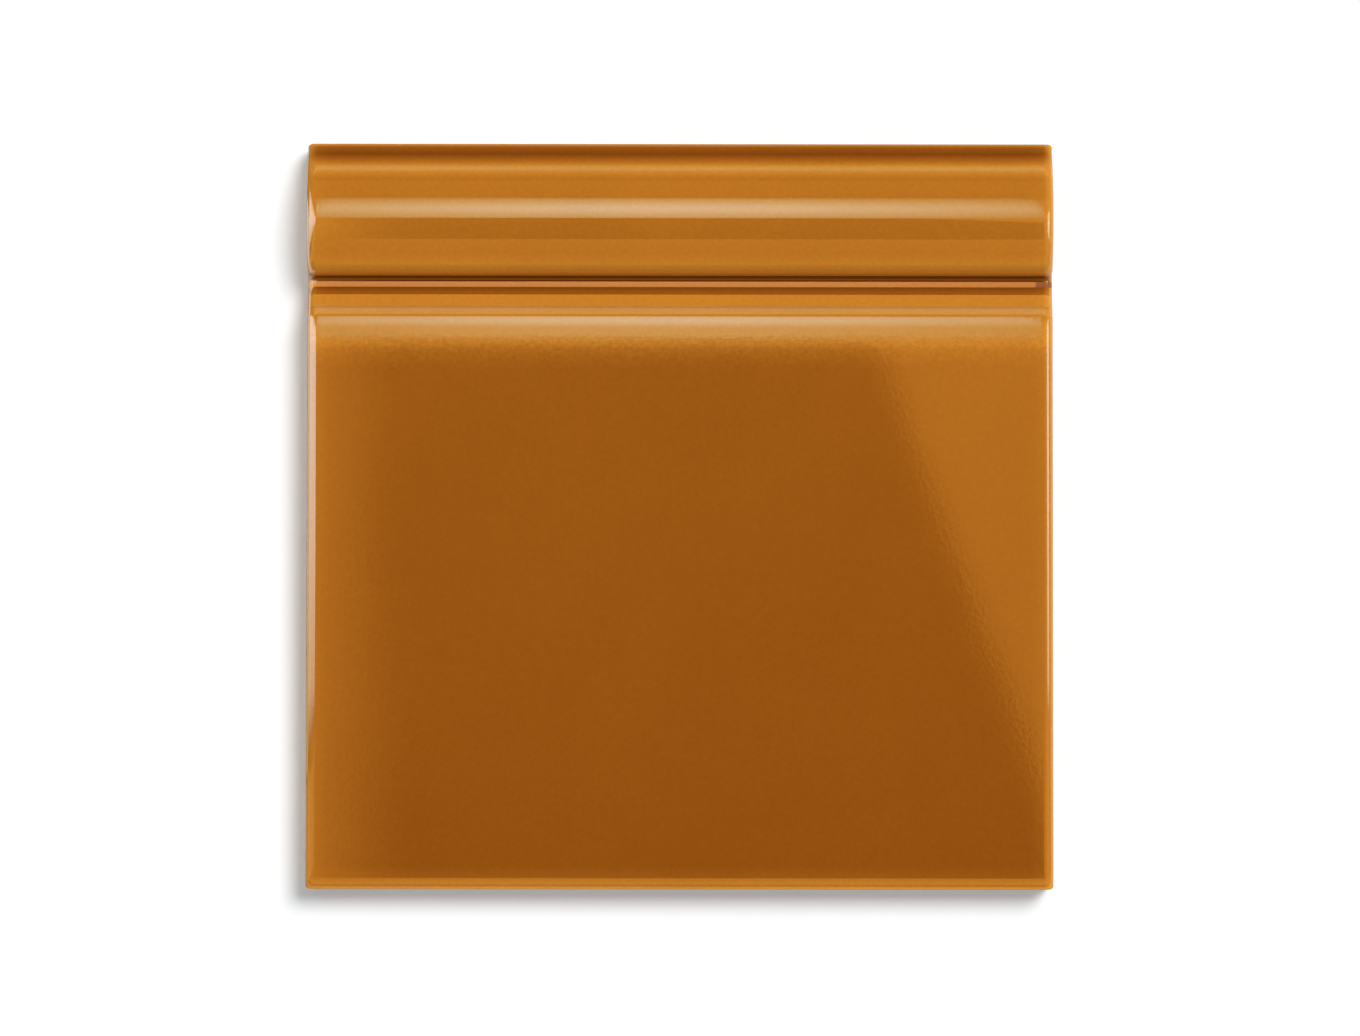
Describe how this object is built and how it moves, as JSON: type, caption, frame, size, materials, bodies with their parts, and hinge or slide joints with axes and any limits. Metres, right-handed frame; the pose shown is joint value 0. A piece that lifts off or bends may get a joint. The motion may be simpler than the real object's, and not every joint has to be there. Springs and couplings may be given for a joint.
{
  "type": "skirting border tile",
  "caption": "Square honey-glazed ceramic border tile: flat field, and along the top edge a shallow roll over a quirk groove; keyed back, for finishing the foot or edge of a tiled wall.",
  "frame": {"origin": "middle of the tile's plan, on the plane of the back that is bedded on the wall", "axes": "+X along the wall, from joint to joint; +Y up the wall, towards the moulded top edge; +Z out of the glazed face"},
  "size_m": [0.152, 0.152, 0.0122],
  "materials": {
    "honey_glaze": "gloss translucent honey-brown glaze over a pale body, thinner and lighter on the roll and edges, pooled dark in the groove, back left unglazed"
  },
  "bodies": {
    "root": {"border_tile": "honey_glaze"}
  },
  "joints": []
}
